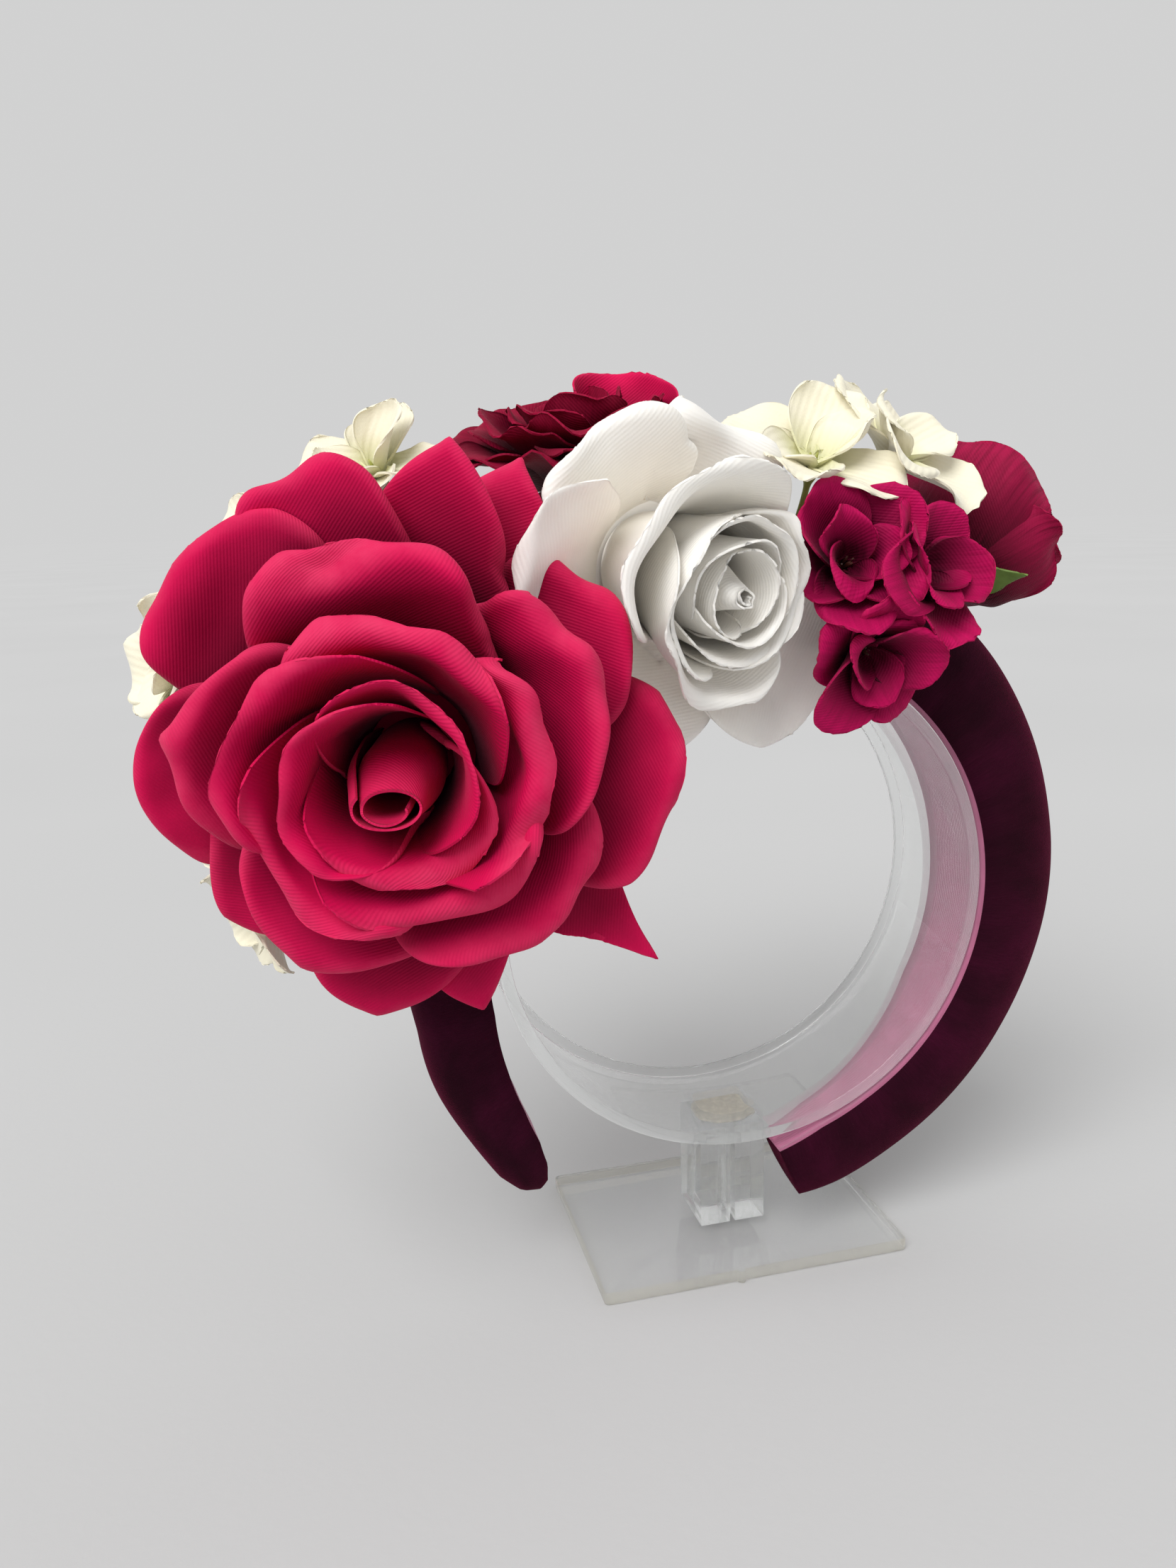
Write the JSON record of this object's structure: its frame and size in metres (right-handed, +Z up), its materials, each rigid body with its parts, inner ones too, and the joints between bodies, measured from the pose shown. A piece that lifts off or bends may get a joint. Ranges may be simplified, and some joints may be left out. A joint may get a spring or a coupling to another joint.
{
  "type": "flower fascinator headband on a clear ring stand",
  "caption": "Padded velvet headband trimmed with cloth roses and blossoms, shown on a clear ring stand with a flat base plate; worn over the top of the head.",
  "frame": {"origin": "middle of the base plate's bottom face, where the stand rests", "axes": "+Z up; X across the ring, +X towards the bare velvet leg; Y along the ring's axis, -Y towards the front, where the roses face"},
  "size_m": [0.2228, 0.1029, 0.2102],
  "materials": {
    "velvet": "short pile velvet, dark burgundy, lighter where the pile catches light",
    "crimson_cloth": "fine twill, stiffened and brushed, pink sheen along edges",
    "dark_crimson_cloth": "thin matt cloth with ruffled edges",
    "raspberry_cloth": "thin matt cloth with darker veins",
    "white_satin": "ribbed satin, soft shine",
    "ivory_cloth": "thin cloth, yellow green at the centre",
    "leaf_green": "moulded, satin",
    "clear_acrylic": "clear polished acrylic",
    "cloudy_glue": "dried clear glue, cloudy beige"
  },
  "bodies": {
    "root": {"big_rose_calyx": "leaf_green", "big_rose_core_1": "crimson_cloth", "big_rose_core_2": "crimson_cloth", "big_rose_core_3": "crimson_cloth", "big_rose_heart": "crimson_cloth", "big_rose_inner_1": "crimson_cloth", "big_rose_inner_2": "crimson_cloth", "big_rose_inner_3": "crimson_cloth", "big_rose_inner_4": "crimson_cloth", "big_rose_inner_5": "crimson_cloth", "big_rose_middle_1": "crimson_cloth", "big_rose_middle_2": "crimson_cloth", "big_rose_middle_3": "crimson_cloth", "big_rose_middle_4": "crimson_cloth", "big_rose_middle_5": "crimson_cloth", "big_rose_outer_1": "crimson_cloth", "big_rose_outer_2": "crimson_cloth", "big_rose_outer_3": "crimson_cloth", "big_rose_outer_4": "crimson_cloth", "big_rose_outer_5": "crimson_cloth", "big_rose_outer_6": "crimson_cloth", "big_rose_outer_7": "crimson_cloth", "big_rose_outer_8": "crimson_cloth", "crimson_blossom_1": "crimson_cloth", "crimson_blossom_2": "crimson_cloth", "crimson_blossom_3": "crimson_cloth", "dark_flower_calyx": "leaf_green", "dark_flower_heart": "dark_crimson_cloth", "dark_flower_whorl_1": "dark_crimson_cloth", "dark_flower_whorl_2": "dark_crimson_cloth", "dark_flower_whorl_3": "dark_crimson_cloth", "ivory_blossom_1": "ivory_cloth", "ivory_blossom_2": "ivory_cloth", "ivory_blossom_3": "ivory_cloth", "ivory_blossom_4": "ivory_cloth", "ivory_blossom_5": "ivory_cloth", "ivory_blossom_6": "ivory_cloth", "raspberry_bud_calyx": "leaf_green", "raspberry_bud_petal_1": "raspberry_cloth", "raspberry_bud_petal_2": "raspberry_cloth", "raspberry_bud_petal_3": "raspberry_cloth", "raspberry_bud_petal_4": "raspberry_cloth", "raspberry_bud_sepal": "leaf_green", "stand_base": "clear_acrylic", "stand_glue": "cloudy_glue", "stand_post": "clear_acrylic", "stand_ring": "clear_acrylic", "velvet_band": "velvet", "white_rose_calyx": "leaf_green", "white_rose_core_1": "white_satin", "white_rose_core_2": "white_satin", "white_rose_heart": "white_satin", "white_rose_inner_1": "white_satin", "white_rose_inner_2": "white_satin", "white_rose_inner_3": "white_satin", "white_rose_outer_1": "white_satin", "white_rose_outer_2": "white_satin", "white_rose_outer_3": "white_satin", "white_rose_outer_4": "white_satin", "white_rose_outer_5": "white_satin"}
  },
  "joints": []
}
